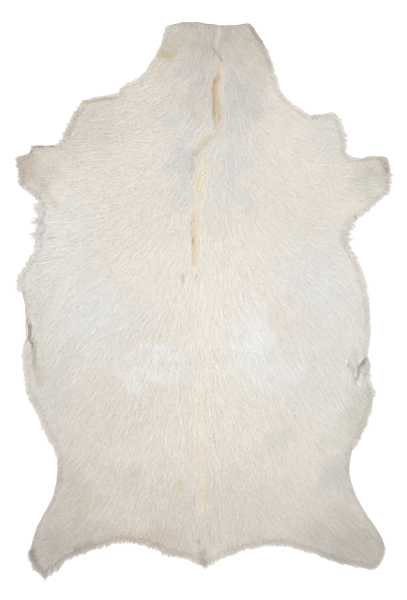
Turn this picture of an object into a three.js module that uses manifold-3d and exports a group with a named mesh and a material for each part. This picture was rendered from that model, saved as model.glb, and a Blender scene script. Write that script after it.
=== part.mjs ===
// A goatskin rug: one whole hide with its hair on, lying flat with the hair side up.
// Millimetres, +Z up. The skin lies on Z = 0 with the neck towards +Y and the tail towards -Y.
// The origin is on the floor under the middle of the hide.

import * as THREE from "three";
import { mergeVertices } from "three/addons/utils/BufferGeometryUtils.js";
import Module from "manifold-3d";

const wasm = await Module();
wasm.setup();

// Driving dimensions of the whole hide, to the tips of its hair.
const HIDE_WIDTH = 617;
const HIDE_LENGTH = 905;

// The skin and its coat. The coat thins out to the rim height towards the edge of the skin,
// and the hair has turned fully aside at the turning distance from the spine.
const RIM_HEIGHT = 2.4;
const COAT_EASE = 13;
const LUMP_RISE = 0.8;
const LUMP_LENGTH = 95;
const TURNING_DISTANCE = 100;

// How finely the top of the coat and the edge of the skin are stepped, and the height of the
// prism that cuts the coat along that edge.
const COAT_STEP = 16.5;
const EDGE_STEP = 13;
const PRISM_HEIGHT = 40;

// A lock of hair at the rim: it starts inside the skin's edge and lies on the floor past it.
// Its knee is where it bends: the share of its length, of its width and of its height there.
const LOCK_PITCH = 10.4;
const LOCK_WIDTH = 12;
const LOCK_HEIGHT = 4.2;
const LOCK_ROOT = 9;
const LOCK_BEND = 0.8;
const KNEE = { length: 0.55, width: 0.62, height: 0.7 };
const OUTWARD_PULL = 1.2;
const SHORTEST_FRINGE = 1.5;

const COAT_COLOUR = 0xe3dccf;
const COAT_ROUGHNESS = 0.92;

// The edge of the skin, clockwise seen from above, a row for each stretch of it.
// across, along: where the stretch ends, in halves of the hide's width and length
// bulge: how far the middle of the stretch bows outwards, in mm
// fringe: how far the hair reaches past the skin there, in mm
const EDGE = [
  { part: "neck cut, left half", across: 0, along: 1, bulge: 5, fringe: 0 },
  { part: "neck cut, right half", across: 0.25, along: 0.997, bulge: -3, fringe: 0 },
  { part: "neck's right corner", across: 0.284, along: 0.964, bulge: 2, fringe: 1 },
  { part: "right side of the neck", across: 0.387, along: 0.799, bulge: 4, fringe: 4 },
  { part: "tuft under the neck", across: 0.395, along: 0.767, bulge: 0, fringe: 7 },
  { part: "slope to the right shoulder", across: 0.576, along: 0.664, bulge: -5, fringe: 4 },
  { part: "top of the right shoulder", across: 0.689, along: 0.675, bulge: 0, fringe: 4 },
  { part: "right shoulder", across: 0.745, along: 0.54, bulge: 7, fringe: 5 },
  { part: "notch over the right foreleg", across: 0.818, along: 0.512, bulge: -2, fringe: 2 },
  { part: "top of the right foreleg", across: 0.97, along: 0.517, bulge: 2, fringe: 2 },
  { part: "end of the right foreleg", across: 0.98, along: 0.395, bulge: 2, fringe: 5 },
  { part: "underside of the right foreleg", across: 0.776, along: 0.28, bulge: 2, fringe: 6 },
  { part: "right armpit", across: 0.747, along: 0.219, bulge: -2, fringe: 12 },
  { part: "right upper flank", across: 0.865, along: 0.034, bulge: 3, fringe: 5 },
  { part: "right flank", across: 0.866, along: -0.205, bulge: 5, fringe: 4 },
  { part: "tuft at the right flank", across: 0.9, along: -0.325, bulge: -4, fringe: 10 },
  { part: "right lower flank", across: 0.792, along: -0.529, bulge: 6, fringe: 5 },
  { part: "right waist", across: 0.774, along: -0.616, bulge: -1, fringe: 2 },
  { part: "cut edge of the right hind leg", across: 0.868, along: -0.767, bulge: -3, fringe: 0 },
  { part: "right hind foot", across: 0.96, along: -0.874, bulge: 3, fringe: 0 },
  { part: "end of the right hind leg", across: 0.908, along: -0.957, bulge: 5, fringe: 5 },
  { part: "inside of the right hind foot", across: 0.732, along: -0.937, bulge: 0, fringe: 6 },
  { part: "inside of the right hind leg", across: 0.463, along: -0.873, bulge: -1, fringe: 6 },
  { part: "right of the rump", across: 0.237, along: -0.883, bulge: -4, fringe: 7 },
  { part: "right of the tail", across: 0.016, along: -0.95, bulge: -2, fringe: 6 },
  { part: "left of the tail", across: -0.158, along: -0.909, bulge: -4, fringe: 6 },
  { part: "left of the rump", across: -0.421, along: -0.856, bulge: -5, fringe: 8 },
  { part: "inside of the left hind leg", across: -0.721, along: -0.925, bulge: -3, fringe: 7 },
  { part: "inside of the left hind foot", across: -0.83, along: -0.985, bulge: 0, fringe: 8 },
  { part: "end of the left hind leg", across: -0.905, along: -0.895, bulge: 4, fringe: 5 },
  { part: "cut edge of the left hind leg", across: -0.784, along: -0.706, bulge: 5, fringe: 0 },
  { part: "upper edge of the left hind leg", across: -0.758, along: -0.558, bulge: -2, fringe: 1 },
  { part: "left waist", across: -0.789, along: -0.501, bulge: 0, fringe: 5 },
  { part: "left lower flank", across: -0.918, along: -0.318, bulge: 0, fringe: 8 },
  { part: "tufts at the left flank", across: -0.93, along: -0.156, bulge: 2, fringe: 7 },
  { part: "rolled edge of the left flank", across: -0.945, along: 0.03, bulge: -3, fringe: 0 },
  { part: "tuft over the rolled edge", across: -0.948, along: 0.104, bulge: 3, fringe: 11 },
  { part: "left upper flank", across: -0.86, along: 0.195, bulge: -2, fringe: 7 },
  { part: "left armpit", across: -0.845, along: 0.354, bulge: -2, fringe: 12 },
  { part: "underside of the left foreleg", across: -0.957, along: 0.421, bulge: -1, fringe: 5 },
  { part: "end of the left foreleg", across: -0.978, along: 0.513, bulge: -3, fringe: 6 },
  { part: "corner of the left foreleg", across: -0.905, along: 0.532, bulge: 0, fringe: 2 },
  { part: "cut at the left foreleg", across: -0.899, along: 0.56, bulge: 0, fringe: 0 },
  { part: "top of the left foreleg", across: -0.739, along: 0.567, bulge: -3, fringe: 2 },
  { part: "left shoulder", across: -0.674, along: 0.662, bulge: 0, fringe: 5 },
  { part: "corner of the left shoulder", across: -0.615, along: 0.718, bulge: 0, fringe: 6 },
  { part: "top of the left shoulder", across: -0.442, along: 0.742, bulge: 1, fringe: 4 },
  { part: "step to the neck", across: -0.405, along: 0.775, bulge: 0, fringe: 4 },
  { part: "left base of the neck", across: -0.305, along: 0.814, bulge: -2, fringe: 5 },
  { part: "left side of the neck", across: -0.185, along: 0.985, bulge: -5, fringe: 4 },
];

// The body from the neck down, a row for each station along it.
// spine: where the line of the spine is, in halves of the width
// coat: how thick the coat lies, in mm
// lay: how far the hair turns aside from the spine, in degrees from straight back
const BODY = [
  { station: "neck", along: 1, spine: 0.08, coat: 5.5, lay: 50 },
  { station: "nape", along: 0.77, spine: 0.06, coat: 6.5, lay: 60 },
  { station: "withers", along: 0.55, spine: 0.03, coat: 7.5, lay: 82 },
  { station: "shoulders", along: 0.36, spine: -0.04, coat: 8.5, lay: 80 },
  { station: "ribs", along: 0.08, spine: -0.03, coat: 9.5, lay: 54 },
  { station: "belly", along: -0.25, spine: -0.01, coat: 9.5, lay: 38 },
  { station: "loin", along: -0.6, spine: 0, coat: 8.5, lay: 36 },
  { station: "rump", along: -0.85, spine: 0.01, coat: 7, lay: 52 },
  { station: "tail", along: -1, spine: 0.01, coat: 6, lay: 45 },
];

// The creases and ridges that show in the coat, a row for each, straight from one end to the other.
// width: half the breadth of its soft slope, in mm
// rise: its height over the coat, in mm, below zero for a trough
const FOLDS = [
  { fold: "parting on the neck", x1: 0.08, y1: 0.95, x2: 0.06, y2: 0.68, width: 9, rise: -2 },
  { fold: "parting on the withers", x1: 0.06, y1: 0.68, x2: -0.05, y2: 0.3, width: 9, rise: -1.6 },
  { fold: "parting on the back", x1: -0.05, y1: 0.3, x2: -0.02, y2: 0.08, width: 8, rise: -1.2 },
  { fold: "left of the cross fold", x1: -0.75, y1: -0.19, x2: -0.05, y2: -0.2, width: 9, rise: -1.8 },
  { fold: "right of the cross fold", x1: 0.03, y1: -0.2, x2: 0.84, y2: -0.2, width: 9, rise: -1.5 },
  { fold: "roll above the cross fold", x1: -0.6, y1: -0.16, x2: 0.7, y2: -0.16, width: 16, rise: 1 },
  { fold: "pocket at the right flank", x1: 0.86, y1: -0.21, x2: 0.81, y2: -0.33, width: 8, rise: -5 },
  { fold: "lip of the right pocket", x1: 0.78, y1: -0.21, x2: 0.77, y2: -0.36, width: 11, rise: 3 },
  { fold: "rolled left flank", x1: -0.9, y1: 0.02, x2: -0.87, y2: -0.2, width: 9, rise: 3.6 },
  { fold: "pocket at the left flank", x1: -0.9, y1: -0.17, x2: -0.86, y2: -0.27, width: 8, rise: -4 },
  { fold: "crease of the left foreleg", x1: -0.88, y1: 0.45, x2: -0.78, y2: 0.34, width: 9, rise: -3.5 },
  { fold: "crease of the right foreleg", x1: 0.89, y1: 0.5, x2: 0.84, y2: 0.36, width: 9, rise: -3 },
  { fold: "ridge of the right hind leg", x1: 0.76, y1: -0.64, x2: 0.9, y2: -0.84, width: 9, rise: 2.2 },
  { fold: "ridge of the left hind leg", x1: -0.72, y1: -0.66, x2: -0.82, y2: -0.84, width: 9, rise: 2 },
];

const between = repeatableRandom(11);

// A maker of numbers between two limits that gives the same run each time from the same seed.
function repeatableRandom(seed) {
  const modulus = 2147483647;
  const multiplier = 16807;
  let state = seed;
  return (low, high) => {
    state = (state * multiplier) % modulus;
    return low + ((high - low) * state) / modulus;
  };
}

function place(across, along) {
  return new THREE.Vector2((across * HIDE_WIDTH) / 2, (along * HIDE_LENGTH) / 2);
}

// The value of one column of BODY at a height y on the hide, eased from station to station.
function bodyValue(column, y) {
  const along = THREE.MathUtils.clamp((2 * y) / HIDE_LENGTH, -0.999, 0.999);
  const next = BODY.findIndex((row) => row.along < along);
  const share = THREE.MathUtils.smoothstep(along, BODY[next].along, BODY[next - 1].along);
  return THREE.MathUtils.lerp(BODY[next][column], BODY[next - 1][column], share);
}

// The way the hair lies at a point: backwards along the spine, turning aside away from it.
function hairWay(point) {
  const fromSpine = point.x - (bodyValue("spine", point.y) * HIDE_WIDTH) / 2;
  const turned = THREE.MathUtils.degToRad(bodyValue("lay", point.y));
  const angle = turned * Math.tanh(fromSpine / TURNING_DISTANCE);
  return new THREE.Vector2(Math.sin(angle), -Math.cos(angle));
}

// The edge of the skin as points, each with its outward normal and the reach of the hair there.
// A stretch is a parabola over its chord, as high as its bulge.
function skinEdge() {
  const points = [];
  EDGE.forEach((stretch, index) => {
    const before = EDGE[(index + EDGE.length - 1) % EDGE.length];
    const start = place(before.across, before.along);
    const chord = place(stretch.across, stretch.along).sub(start);
    const outward = new THREE.Vector2(-chord.y, chord.x).normalize();
    const steps = Math.max(1, Math.round(chord.length() / EDGE_STEP));
    for (let step = 0; step < steps; step += 1) {
      const t = step / steps;
      const at = start.clone().addScaledVector(chord, t);
      at.addScaledVector(outward, 4 * stretch.bulge * t * (1 - t));
      points.push({ at, outward, fringe: stretch.fringe });
    }
  });
  return points;
}

// How far a point lies from the nearest stretch of the skin's edge.
function distanceToEdge(point, edge) {
  let nearest = Infinity;
  edge.forEach(({ at }, index) => {
    const along = edge[(index + 1) % edge.length].at.clone().sub(at);
    const away = point.clone().sub(at);
    const t = THREE.MathUtils.clamp(away.dot(along) / along.lengthSq(), 0, 1);
    nearest = Math.min(nearest, away.addScaledVector(along, -t).length());
  });
  return nearest;
}

// The sum of the creases and ridges at a point, each a soft bell across its own line.
function foldRise(point) {
  let rise = 0;
  for (const fold of FOLDS) {
    const start = place(fold.x1, fold.y1);
    const line = place(fold.x2, fold.y2).sub(start);
    const away = point.clone().sub(start);
    const t = THREE.MathUtils.clamp(away.dot(line) / line.lengthSq(), 0, 1);
    const distance = away.addScaledVector(line, -t).length();
    rise += fold.rise * Math.exp(-((distance / fold.width) ** 2));
  }
  return rise;
}

// The soft unevenness of the coat: waves of unlike length that cross and bend one another.
function lump(point) {
  const x = (2 * Math.PI * point.x) / LUMP_LENGTH;
  const y = (2 * Math.PI * point.y) / LUMP_LENGTH;
  const broad = Math.sin(x + 1.4 * Math.sin(0.6 * y)) * Math.cos(0.7 * y + 1.1 * Math.sin(0.8 * x));
  const fine = Math.sin(1.9 * x - 1.2 * y + 1.6 * Math.cos(0.9 * y)) * Math.sin(1.6 * y + 0.5 * x);
  return LUMP_RISE * (broad + 0.7 * fine);
}

// The height of the top of the coat: full inside, thinning to the rim height at the skin's edge.
function coatTop(point, edge) {
  const inward = 1 - Math.exp(-distanceToEdge(point, edge) / COAT_EASE);
  const full = bodyValue("coat", point.y) + lump(point) + foldRise(point);
  return Math.max(RIM_HEIGHT, RIM_HEIGHT + (full - RIM_HEIGHT) * inward);
}

function solidFrom(geometry) {
  geometry.deleteAttribute("normal");
  geometry.deleteAttribute("uv");
  const merged = mergeVertices(geometry);
  const vertProperties = new Float32Array(merged.attributes.position.array);
  const triVerts = new Uint32Array(merged.index.array);
  return new wasm.Manifold(new wasm.Mesh({ numProp: 3, vertProperties, triVerts }));
}

function geometryFrom(solid) {
  const { vertProperties, triVerts } = solid.getMesh();
  const geometry = new THREE.BufferGeometry();
  geometry.setAttribute("position", new THREE.BufferAttribute(vertProperties, 3));
  geometry.setIndex(new THREE.BufferAttribute(triVerts, 1));
  geometry.computeVertexNormals();
  return geometry;
}

// The hide without its fringe: a block with the coat's uneven top, cut along the skin's edge by a
// prism that stands on the floor.
function hideSlab(edge) {
  const columns = Math.round(HIDE_WIDTH / COAT_STEP);
  const rows = Math.round(HIDE_LENGTH / COAT_STEP);
  const block = new THREE.BoxGeometry(HIDE_WIDTH, HIDE_LENGTH, 2 * PRISM_HEIGHT, columns, rows, 1);
  const corners = block.attributes.position;
  for (let i = 0; i < corners.count; i += 1) {
    const point = new THREE.Vector2(corners.getX(i), corners.getY(i));
    if (corners.getZ(i) > 0) corners.setZ(i, coatTop(point, edge));
  }
  const outline = new THREE.Shape(edge.map(({ at }) => at));
  const prism = new THREE.ExtrudeGeometry(outline, { depth: PRISM_HEIGHT, bevelEnabled: false });
  return solidFrom(block).intersect(solidFrom(prism));
}

// One lock: three sides, flat on the floor, broad at its root, bent at its knee, with a pointed tip.
function lock({ root, way, length, width, height, bend }) {
  const side = new THREE.Vector2(-way.y, way.x);
  const knee = root.clone().addScaledVector(way, KNEE.length * length).addScaledVector(side, -bend);
  const tip = root.clone().addScaledVector(way, length).addScaledVector(side, bend);
  const sections = [
    { centre: root, half: width / 2, top: height },
    { centre: knee, half: (KNEE.width * width) / 2, top: KNEE.height * height },
  ];
  const corners = [];
  for (const { centre, half, top } of sections) {
    const left = centre.clone().addScaledVector(side, half);
    const right = centre.clone().addScaledVector(side, -half);
    corners.push(left.x, left.y, 0, right.x, right.y, 0, centre.x, centre.y, top);
  }
  corners.push(tip.x, tip.y, 0);
  const geometry = new THREE.BufferGeometry();
  geometry.setAttribute("position", new THREE.Float32BufferAttribute(corners, 3));
  geometry.setIndex([
    0, 1, 2,
    0, 3, 1, 1, 3, 4,
    1, 4, 2, 2, 4, 5,
    2, 5, 0, 0, 5, 3,
    3, 6, 4, 4, 6, 5, 5, 6, 3,
  ]);
  return solidFrom(geometry);
}

// The locks of the fringe, one after another along the edge, wherever the hair passes the skin.
function fringe(edge) {
  const locks = [];
  let walked = 0;
  edge.forEach(({ at, outward, fringe: reach }, index) => {
    const chord = edge[(index + 1) % edge.length].at.clone().sub(at);
    const length = chord.length();
    while (walked < length) {
      if (reach >= SHORTEST_FRINGE) {
        const point = at.clone().addScaledVector(chord, walked / length);
        const way = hairWay(point).addScaledVector(outward, OUTWARD_PULL).normalize();
        const oneLock = {
          root: point.addScaledVector(way, -LOCK_ROOT),
          way,
          length: LOCK_ROOT + reach * between(0.8, 1.6),
          width: LOCK_WIDTH * between(0.8, 1.2),
          height: LOCK_HEIGHT * between(0.75, 1.15),
          bend: LOCK_BEND * between(-1, 1),
        };
        locks.push(lock(oneLock));
      }
      walked += LOCK_PITCH * between(0.85, 1.15);
    }
    walked -= length;
  });
  return locks;
}

const edge = skinEdge();
const hide = wasm.Manifold.union([hideSlab(edge), ...fringe(edge)]);

const goatskin = new THREE.Mesh(
  geometryFrom(hide),
  new THREE.MeshStandardMaterial({ color: COAT_COLOUR, roughness: COAT_ROUGHNESS, metalness: 0 }),
);
goatskin.name = "goatskin";

const group = new THREE.Group();
group.add(goatskin);

export default group;
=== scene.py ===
"""A goatskin rug: one whole hide with its hair on, lying flat with the hair side up.

Metres, +Z up. The skin lies on Z = 0 with the neck towards +Y and the tail towards -Y.
"""

import math

import bpy
import numpy as np
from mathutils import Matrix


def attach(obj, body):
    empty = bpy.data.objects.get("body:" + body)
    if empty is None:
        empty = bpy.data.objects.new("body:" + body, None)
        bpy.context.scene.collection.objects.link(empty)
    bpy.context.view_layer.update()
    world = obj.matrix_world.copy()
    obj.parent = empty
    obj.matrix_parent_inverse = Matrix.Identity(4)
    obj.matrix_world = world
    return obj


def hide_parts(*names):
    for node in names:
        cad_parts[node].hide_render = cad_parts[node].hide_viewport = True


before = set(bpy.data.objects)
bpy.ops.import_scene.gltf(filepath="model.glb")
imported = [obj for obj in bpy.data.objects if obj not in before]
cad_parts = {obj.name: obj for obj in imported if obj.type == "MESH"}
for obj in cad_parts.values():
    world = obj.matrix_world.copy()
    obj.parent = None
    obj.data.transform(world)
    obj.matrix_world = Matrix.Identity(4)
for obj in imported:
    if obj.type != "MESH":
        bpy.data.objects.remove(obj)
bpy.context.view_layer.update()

rng = np.random.default_rng(24)


# The skin
# One tanned hide, thin and pliable, with a pale suede underside. It was skinned, tanned and
# trimmed with a knife, so its edge follows the animal: neck, forelegs, flanks and hind legs.

HIDE_WIDTH = 0.617
HIDE_LENGTH = 0.905
SKIN_THICKNESS = 0.0013
SKIN_GRID = 0.006
EDGE_STEP = 0.004
EDGE_WAVER = 0.0007
POINTS_AT_ONCE = 4000

# Each stretch of the edge, clockwise seen from above:
# across, along: where it ends, in halves of the hide's width and length
# bulge: how far its middle bows outwards, in mm
# fringe: how far the hair reaches past it, in mm
EDGE_PATTERN = {
    "neck cut, left half": (0, 1, 5, 0),
    "neck cut, right half": (0.25, 0.997, -3, 0),
    "neck's right corner": (0.284, 0.964, 2, 1),
    "right side of the neck": (0.387, 0.799, 4, 4),
    "tuft under the neck": (0.395, 0.767, 0, 7),
    "slope to the right shoulder": (0.576, 0.664, -5, 4),
    "top of the right shoulder": (0.689, 0.675, 0, 6),
    "right shoulder": (0.745, 0.54, 7, 8),
    "notch over the right foreleg": (0.818, 0.512, -2, 2),
    "top of the right foreleg": (0.97, 0.517, 2, 2),
    "end of the right foreleg": (0.98, 0.395, 2, 7),
    "underside of the right foreleg": (0.776, 0.28, 1, 6),
    "right armpit": (0.747, 0.219, -2, 16),
    "right upper flank": (0.865, 0.034, 4, 7),
    "right flank": (0.866, -0.205, 5, 4),
    "tuft at the right flank": (0.9, -0.325, -4, 10),
    "right lower flank": (0.792, -0.529, 6, 5),
    "right waist": (0.774, -0.616, -1, 2),
    "cut edge of the right hind leg": (0.868, -0.767, -3, 0),
    "right hind foot": (0.96, -0.874, 3, 0),
    "end of the right hind leg": (0.908, -0.957, 5, 5),
    "inside of the right hind foot": (0.732, -0.937, 0, 6),
    "inside of the right hind leg": (0.463, -0.873, -1, 6),
    "right of the rump": (0.237, -0.883, -4, 7),
    "right of the tail": (0.016, -0.95, -2, 6),
    "left of the tail": (-0.158, -0.909, -4, 6),
    "left of the rump": (-0.421, -0.856, -5, 8),
    "inside of the left hind leg": (-0.721, -0.925, -3, 7),
    "inside of the left hind foot": (-0.83, -0.985, 0, 12),
    "end of the left hind leg": (-0.905, -0.895, 4, 9),
    "cut edge of the left hind leg": (-0.784, -0.706, 5, 0),
    "upper edge of the left hind leg": (-0.758, -0.558, -2, 1),
    "left waist": (-0.789, -0.501, 0, 5),
    "left lower flank": (-0.918, -0.318, 0, 8),
    "tufts at the left flank": (-0.93, -0.156, 2, 7),
    "rolled edge of the left flank": (-0.945, 0.03, -3, 0),
    "tuft over the rolled edge": (-0.948, 0.104, 3, 11),
    "left upper flank": (-0.86, 0.195, -2, 7),
    "left armpit": (-0.845, 0.354, -2, 20),
    "underside of the left foreleg": (-0.957, 0.421, -1, 5),
    "end of the left foreleg": (-0.978, 0.513, -3, 6),
    "corner of the left foreleg": (-0.905, 0.532, 0, 2),
    "cut at the left foreleg": (-0.899, 0.56, 0, 0),
    "top of the left foreleg": (-0.739, 0.567, -3, 2),
    "left shoulder": (-0.674, 0.662, 0, 7),
    "corner of the left shoulder": (-0.615, 0.718, 0, 8),
    "top of the left shoulder": (-0.442, 0.742, 1, 6),
    "step to the neck": (-0.405, 0.775, 0, 4),
    "left base of the neck": (-0.305, 0.814, -2, 5),
    "left side of the neck": (-0.185, 0.985, -5, 4),
}


def place(across, along):
    """Halves of the hide's width and length as metres."""
    return np.stack([np.multiply(across, HIDE_WIDTH / 2), np.multiply(along, HIDE_LENGTH / 2)], -1)


def trace_edge(pattern):
    """The skin's edge as points a few millimetres apart, and the reach of the hair at each.

    A stretch is its chord plus a parabola, 4 t (1 - t) times its bulge, set off along the chord's
    outward normal. Three sines of the point's number then make the edge waver a little.
    """
    rows = np.array(list(pattern.values()), float)
    ends = place(rows[:, 0], rows[:, 1])
    starts = np.roll(ends, 1, axis=0)
    points, reach = [], []
    for start, end, bulge, fringe in zip(starts, ends, rows[:, 2] / 1000, rows[:, 3] / 1000):
        chord = end - start
        length = np.hypot(*chord)
        outward = np.array([-chord[1], chord[0]]) / length
        count = max(1, round(length / EDGE_STEP))
        t = (np.arange(count) / count)[:, None]
        points.append(start + t * chord + 4 * t * (1 - t) * bulge * outward)
        reach.append(np.full(count, fringe))
    points = np.concatenate(points)
    along = np.roll(points, -1, axis=0) - np.roll(points, 1, axis=0)
    outward = np.stack([-along[:, 1], along[:, 0]], -1)
    outward = outward / np.hypot(along[:, 0], along[:, 1])[:, None]
    n = np.arange(len(points))
    waver = np.sin(1.1 * n) + np.sin(0.43 * n + 1) + np.sin(2.3 * n * (1 + 0.002 * n / 7))
    return points + EDGE_WAVER * waver[:, None] / 1.7 * outward, np.concatenate(reach)


EDGE, EDGE_REACH = trace_edge(EDGE_PATTERN)

# The chart of the hide is a square net over it. Each knot holds its distance inside the edge,
# below zero outside, and the reach of the hair at the nearest stretch of edge.
CHART_STEP = 0.002
CHART_MARGIN = 0.03


def distance_to_edge(points):
    """How far each point lies inside the edge, below zero outside, and its nearest edge point.

    The distance is the least one to any piece of the edge, and a point is inside where a line
    drawn from it to the right crosses the edge an odd number of times.
    """
    start, end = EDGE, np.roll(EDGE, -1, axis=0)
    piece = end - start
    distance = np.empty(len(points))
    nearest = np.empty(len(points), int)
    parts = max(1, len(points) // POINTS_AT_ONCE)
    for part in np.array_split(np.arange(len(points)), parts):
        away = points[part, None] - start[None]
        t = np.clip((away * piece).sum(-1) / (piece**2).sum(-1), 0, 1)
        gap = np.hypot(*np.moveaxis(away - t[..., None] * piece, -1, 0))
        nearest[part] = gap.argmin(1)
        x, y = points[part, 0, None], points[part, 1, None]
        spans = (start[:, 1] > y) != (end[:, 1] > y)
        rise = np.where(spans, piece[:, 1], 1)
        crossing = start[:, 0] + (y - start[:, 1]) * piece[:, 0] / rise
        odd = (spans & (x < crossing)).sum(1) % 2 == 1
        distance[part] = gap.min(1) * np.where(odd, 1, -1)
    return distance, nearest


chart_x = np.arange(-HIDE_WIDTH / 2 - CHART_MARGIN, HIDE_WIDTH / 2 + CHART_MARGIN, CHART_STEP)
chart_y = np.arange(-HIDE_LENGTH / 2 - CHART_MARGIN, HIDE_LENGTH / 2 + CHART_MARGIN, CHART_STEP)
knots = np.stack(np.meshgrid(chart_x, chart_y), -1)
inside, nearest = distance_to_edge(knots.reshape(-1, 2))
inside = inside.reshape(knots.shape[:2])
reach = EDGE_REACH[nearest].reshape(knots.shape[:2])


def read_chart(chart, points):
    """A chart's value at points, weighted between its four nearest knots."""
    column = np.clip((points[:, 0] - chart_x[0]) / CHART_STEP, 0, len(chart_x) - 1.001)
    row = np.clip((points[:, 1] - chart_y[0]) / CHART_STEP, 0, len(chart_y) - 1.001)
    i, j = column.astype(int), row.astype(int)
    u, v = column - i, row - j
    low = chart[j, i] * (1 - u) + chart[j, i + 1] * u
    high = chart[j + 1, i] * (1 - u) + chart[j + 1, i + 1] * u
    return low * (1 - v) + high * v


def hide_net(step):
    """A square net cut to the hide: its points in the plane, its squares and its border edges.

    A square is kept where its middle lies on the hide, and a knot on the border of the kept
    squares moves to the nearest point of the skin's edge.
    """
    x = np.arange(-HIDE_WIDTH / 2 - step, HIDE_WIDTH / 2 + 2 * step, step)
    y = np.arange(-HIDE_LENGTH / 2 - step, HIDE_LENGTH / 2 + 2 * step, step)
    grid = np.stack(np.meshgrid(x, y), -1)
    middles = (grid[:-1, :-1] + grid[1:, 1:]) / 2
    kept = read_chart(inside, middles.reshape(-1, 2)).reshape(middles.shape[:2]) > 0
    number = np.arange(grid.shape[0] * grid.shape[1]).reshape(grid.shape[:2])
    corners = [number[:-1, :-1], number[:-1, 1:], number[1:, 1:], number[1:, :-1]]
    squares = np.stack([corner[kept] for corner in corners], -1)
    sides = squares[:, [0, 1, 1, 2, 2, 3, 3, 0]].reshape(-1, 2)
    key = sides.min(1) * number.size + sides.max(1)
    _, first, count = np.unique(key, return_index=True, return_counts=True)
    border = sides[first[count == 1]]
    points = grid.reshape(-1, 2)
    rim = np.unique(border)
    _, near = distance_to_edge(points[rim])
    points[rim] = nearest_on_edge(points[rim], near)
    used, packed = np.unique(squares, return_inverse=True)
    renumber = np.zeros(number.size, int)
    renumber[used] = np.arange(len(used))
    return points[used], packed.reshape(-1, 4), renumber[border]


def nearest_on_edge(points, near):
    """The foot of each point on its nearest piece of the edge."""
    start = EDGE[near]
    piece = EDGE[(near + 1) % len(EDGE)] - start
    t = np.clip(((points - start) * piece).sum(1) / (piece**2).sum(1), 0, 1)
    return start + t[:, None] * piece


def build_mesh(name, points, faces):
    """A mesh object from an array of points and an array of faces, alike in corners."""
    mesh = bpy.data.meshes.new(name)
    mesh.vertices.add(len(points))
    mesh.vertices.foreach_set("co", np.asarray(points, np.float32).ravel())
    mesh.loops.add(faces.size)
    mesh.loops.foreach_set("vertex_index", faces.astype(np.int32).ravel())
    mesh.polygons.add(len(faces))
    starts = np.arange(0, faces.size, faces.shape[1], dtype=np.int32)
    mesh.polygons.foreach_set("loop_start", starts)
    mesh.update(calc_edges=True)
    piece = bpy.data.objects.new(name, mesh)
    bpy.context.collection.objects.link(piece)
    return piece


def closed_sheet(name, net, top, bottom):
    """A sheet between two heights over the net: its top, its bottom turned over, and its rim."""
    flat, squares, border = net
    points = np.concatenate([np.c_[flat, top], np.c_[flat, bottom]])
    lower = len(flat)
    a, b = border.T
    rim = np.stack([b, a, a + lower, b + lower], -1)
    piece = build_mesh(name, points, np.concatenate([squares, squares[:, ::-1] + lower, rim]))
    piece.data.shade_smooth()
    return piece


def srgb(red, green, blue):
    """A colour from 0 to 255 on a screen as the light it stands for, from 0 to 1."""
    share = np.array([red, green, blue]) / 255
    return np.where(share > 0.04045, ((share + 0.055) / 1.055) ** 2.4, share / 12.92)


def add_node(material, kind, settings=None, **inputs):
    """A node of that kind. Each input is a value, or another node's output, to link.

    A whole node stands for its first output. An input is named as its socket is, with _ for a
    space, or by its number, as _0.
    """
    node = material.node_tree.nodes.new("ShaderNode" + kind)
    for name, value in (settings or {}).items():
        setattr(node, name, value)
    for name, value in inputs.items():
        number = name[1:]
        socket = node.inputs[int(number) if number.isdigit() else name.replace("_", " ")]
        if isinstance(value, (bpy.types.Node, bpy.types.NodeSocket)):
            link(material, value, socket)
        else:
            socket.default_value = value
    return node


def link(material, source, socket):
    """Joins a node's output, or a whole node's first output, to an input."""
    output = source.outputs[0] if isinstance(source, bpy.types.Node) else source
    material.node_tree.links.new(output, socket)


def new_material(name):
    """An empty material and its Principled shader."""
    material = bpy.data.materials.new(name)
    material.use_nodes = True
    return material, material.node_tree.nodes["Principled BSDF"]


def finish_shader(material, shader, colour, roughness, height, strength, depth):
    """Gives the shader its colour, its roughness, and a bump of that height."""
    bump = add_node(material, "Bump", Strength=strength, Distance=depth, Height=height)
    link(material, colour, shader.inputs["Base Color"])
    link(material, roughness, shader.inputs["Roughness"])
    link(material, bump, shader.inputs["Normal"])


def suede_material():
    """Tanned skin: pale cream suede, clouded with darker patches, its fine nap raised in bumps."""
    material, shader = new_material("tanned_skin")
    at = add_node(material, "TexCoord").outputs["Object"]
    clouds = add_node(material, "TexNoise", Vector=at, Scale=14.0, Detail=5.0)
    nap = add_node(material, "TexNoise", Vector=at, Scale=1400.0, Detail=3.0)
    ramp = add_node(material, "ValToRGB", Fac=clouds)
    ramp.color_ramp.elements[0].position, ramp.color_ramp.elements[1].position = 0.3, 0.7
    ramp.color_ramp.elements[0].color = (*srgb(196, 186, 168), 1)
    ramp.color_ramp.elements[1].color = (*srgb(222, 215, 202), 1)
    rough = add_node(material, "MapRange", Value=nap, To_Min=0.75, To_Max=0.98)
    finish_shader(material, shader, ramp, rough, nap, strength=0.4, depth=0.0004)
    shader.inputs["Sheen Weight"].default_value = 0.2
    return material


skin_net = hide_net(SKIN_GRID)
skin = closed_sheet(
    "tanned_skin", skin_net, np.full(len(skin_net[0]), SKIN_THICKNESS), np.zeros(len(skin_net[0]))
)
skin.data.materials.append(suede_material())
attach(skin, "root")


# The undercoat
# The short dense wool that grows all over the skin, under the hair. It gives the coat its depth,
# and shows as soft shade between the hairs. Its form is the solid's, a little lower.

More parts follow.
